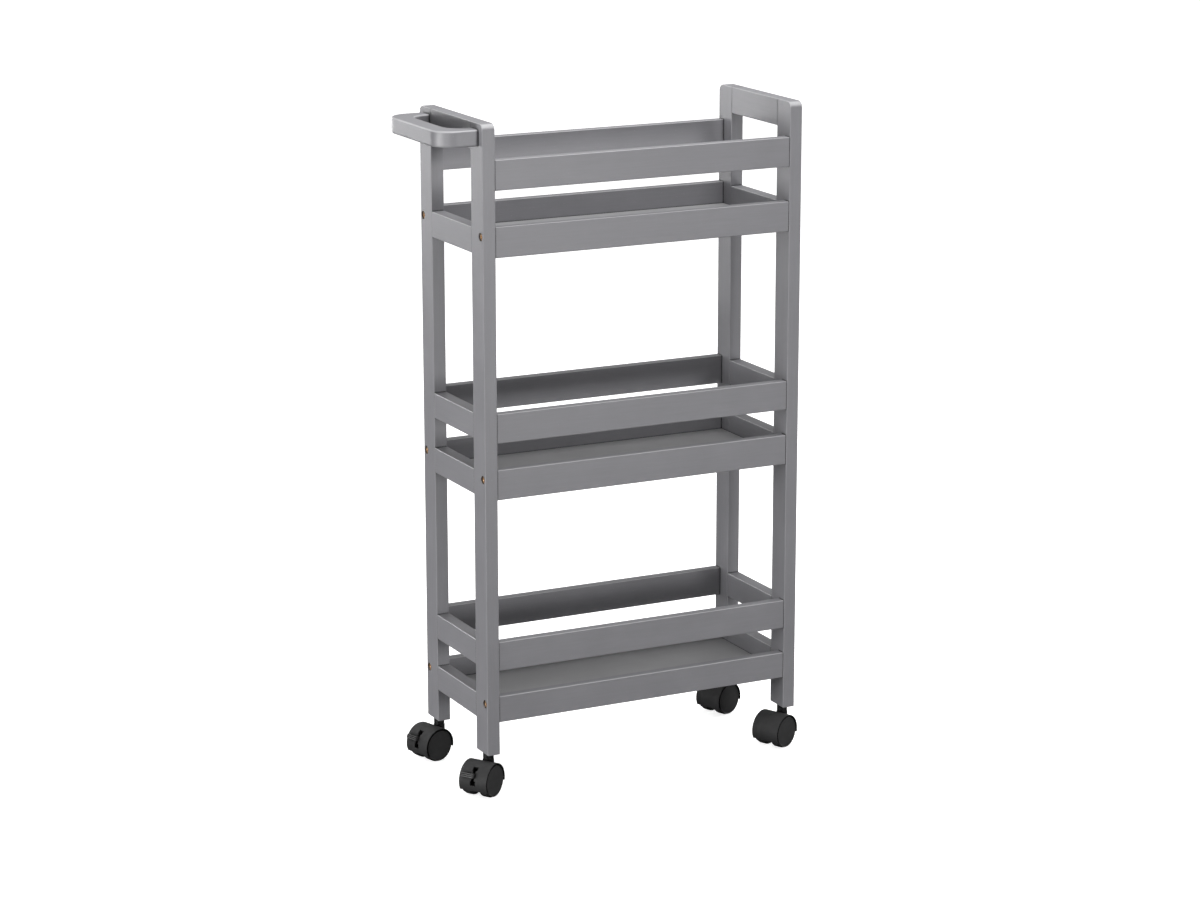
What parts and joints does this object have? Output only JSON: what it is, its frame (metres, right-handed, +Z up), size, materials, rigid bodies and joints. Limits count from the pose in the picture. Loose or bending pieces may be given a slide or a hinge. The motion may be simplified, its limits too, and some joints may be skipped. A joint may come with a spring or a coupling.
{
  "type": "rolling pantry cart",
  "caption": "Slim painted-wood rolling cart with stacked railed trays between two post-and-rail end frames, a U-shaped push handle and hooded twin-wheel swivel casters, two with brakes.",
  "frame": {"origin": "bottom centre of the whole cart's bounding box, on the floor under the wheels", "axes": "+X along the cart, away from the push handle; +Y from the front to the back; +Z up"},
  "size_m": [0.5878, 0.25, 1],
  "materials": {
    "painted_wood": "satin grey paint",
    "panel_grey": "satin grey foil",
    "dowel_wood": "raw beech",
    "bolt_brass": "yellow zinc plated",
    "caster_plastic": "satin moulded nylon",
    "wheel_plastic": "satin moulded nylon",
    "steel": "plain",
    "dark_steel": "black"
  },
  "bodies": {
    "frame": {"back_bottom_board": "painted_wood", "back_bottom_guard": "painted_wood", "back_middle_board": "painted_wood", "back_middle_guard": "painted_wood", "back_top_board": "painted_wood", "back_top_guard": "painted_wood", "board_dowels": "dowel_wood", "bolt_inserts": "bolt_brass", "bottom_panel": "panel_grey", "caster_sockets": "caster_plastic", "caster_stems": "dark_steel", "cross_rail_dowels": "dowel_wood", "front_bottom_board": "painted_wood", "front_bottom_guard": "painted_wood", "front_middle_board": "painted_wood", "front_middle_guard": "painted_wood", "front_top_board": "painted_wood", "front_top_guard": "painted_wood", "handle_screws": "steel", "left_bottom_guard_rail": "painted_wood", "left_bottom_tray_rail": "painted_wood", "left_middle_guard_rail": "painted_wood", "left_middle_tray_rail": "painted_wood", "left_top_rail": "painted_wood", "left_top_tray_rail": "painted_wood", "middle_panel": "panel_grey", "post_back_left": "painted_wood", "post_back_right": "painted_wood", "post_front_left": "painted_wood", "post_front_right": "painted_wood", "push_handle": "painted_wood", "right_bottom_guard_rail": "painted_wood", "right_bottom_tray_rail": "painted_wood", "right_middle_guard_rail": "painted_wood", "right_middle_tray_rail": "painted_wood", "right_top_rail": "painted_wood", "right_top_tray_rail": "painted_wood", "top_panel": "panel_grey", "tray_bolts": "bolt_brass"},
    "caster_front_left": {"caster_front_left_hood": "caster_plastic", "caster_front_left_axle": "steel"},
    "wheel_front_left_near": {"caster_front_left_near_wheel": "wheel_plastic"},
    "wheel_front_left_far": {"caster_front_left_far_wheel": "wheel_plastic"},
    "brake_front_left": {"caster_front_left_brake_lever": "caster_plastic"},
    "caster_back_left": {"caster_back_left_hood": "caster_plastic", "caster_back_left_axle": "steel"},
    "wheel_back_left_near": {"caster_back_left_near_wheel": "wheel_plastic"},
    "wheel_back_left_far": {"caster_back_left_far_wheel": "wheel_plastic"},
    "brake_back_left": {"caster_back_left_brake_lever": "caster_plastic"},
    "caster_front_right": {"caster_front_right_hood": "caster_plastic", "caster_front_right_axle": "steel"},
    "wheel_front_right_near": {"caster_front_right_near_wheel": "wheel_plastic"},
    "wheel_front_right_far": {"caster_front_right_far_wheel": "wheel_plastic"},
    "caster_back_right": {"caster_back_right_hood": "caster_plastic", "caster_back_right_axle": "steel"},
    "wheel_back_right_near": {"caster_back_right_near_wheel": "wheel_plastic"},
    "wheel_back_right_far": {"caster_back_right_far_wheel": "wheel_plastic"}
  },
  "joints": [
    {"name": "swivel_front_left", "type": "hinge", "parent": "frame", "child": "caster_front_left", "pos_m": [-0.22337, -0.07981, 0.045], "axis": [0, 0, 1], "continuous": true},
    {"name": "roll_front_left_near", "type": "hinge", "parent": "caster_front_left", "child": "wheel_front_left_near", "pos_m": [-0.23912, -0.09043, 0.025], "axis": [-0.5592, 0.829, 0], "continuous": true},
    {"name": "roll_front_left_far", "type": "hinge", "parent": "caster_front_left", "child": "wheel_front_left_far", "pos_m": [-0.23912, -0.09043, 0.025], "axis": [-0.5592, 0.829, 0], "continuous": true},
    {"name": "brake_front_left", "type": "hinge", "parent": "caster_front_left", "child": "brake_front_left", "pos_m": [-0.23912, -0.09043, 0.025], "axis": [0.5592, -0.829, 0], "range_deg": [0, 18]},
    {"name": "swivel_back_left", "type": "hinge", "parent": "frame", "child": "caster_back_left", "pos_m": [-0.22337, 0.1002, 0.045], "axis": [0, 0, 1], "continuous": true},
    {"name": "roll_back_left_near", "type": "hinge", "parent": "caster_back_left", "child": "wheel_back_left_near", "pos_m": [-0.24154, 0.09464, 0.025], "axis": [-0.2924, 0.9563, 0], "continuous": true},
    {"name": "roll_back_left_far", "type": "hinge", "parent": "caster_back_left", "child": "wheel_back_left_far", "pos_m": [-0.24154, 0.09464, 0.025], "axis": [-0.2924, 0.9563, 0], "continuous": true},
    {"name": "brake_back_left", "type": "hinge", "parent": "caster_back_left", "child": "brake_back_left", "pos_m": [-0.24154, 0.09464, 0.025], "axis": [0.2924, -0.9563, 0], "range_deg": [0, 18]},
    {"name": "swivel_front_right", "type": "hinge", "parent": "frame", "child": "caster_front_right", "pos_m": [0.27663, -0.07981, 0.045], "axis": [0, 0, 1], "continuous": true},
    {"name": "roll_front_right_near", "type": "hinge", "parent": "caster_front_right", "child": "wheel_front_right_near", "pos_m": [0.25941, -0.08783, 0.025], "axis": [-0.4226, 0.9063, 0], "continuous": true},
    {"name": "roll_front_right_far", "type": "hinge", "parent": "caster_front_right", "child": "wheel_front_right_far", "pos_m": [0.25941, -0.08783, 0.025], "axis": [-0.4226, 0.9063, 0], "continuous": true},
    {"name": "swivel_back_right", "type": "hinge", "parent": "frame", "child": "caster_back_right", "pos_m": [0.27663, 0.1002, 0.045], "axis": [0, 0, 1], "continuous": true},
    {"name": "roll_back_right_near", "type": "hinge", "parent": "caster_back_right", "child": "wheel_back_right_near", "pos_m": [0.2589, 0.09339, 0.025], "axis": [-0.3584, 0.9336, 0], "continuous": true},
    {"name": "roll_back_right_far", "type": "hinge", "parent": "caster_back_right", "child": "wheel_back_right_far", "pos_m": [0.2589, 0.09339, 0.025], "axis": [-0.3584, 0.9336, 0], "continuous": true}
  ]
}
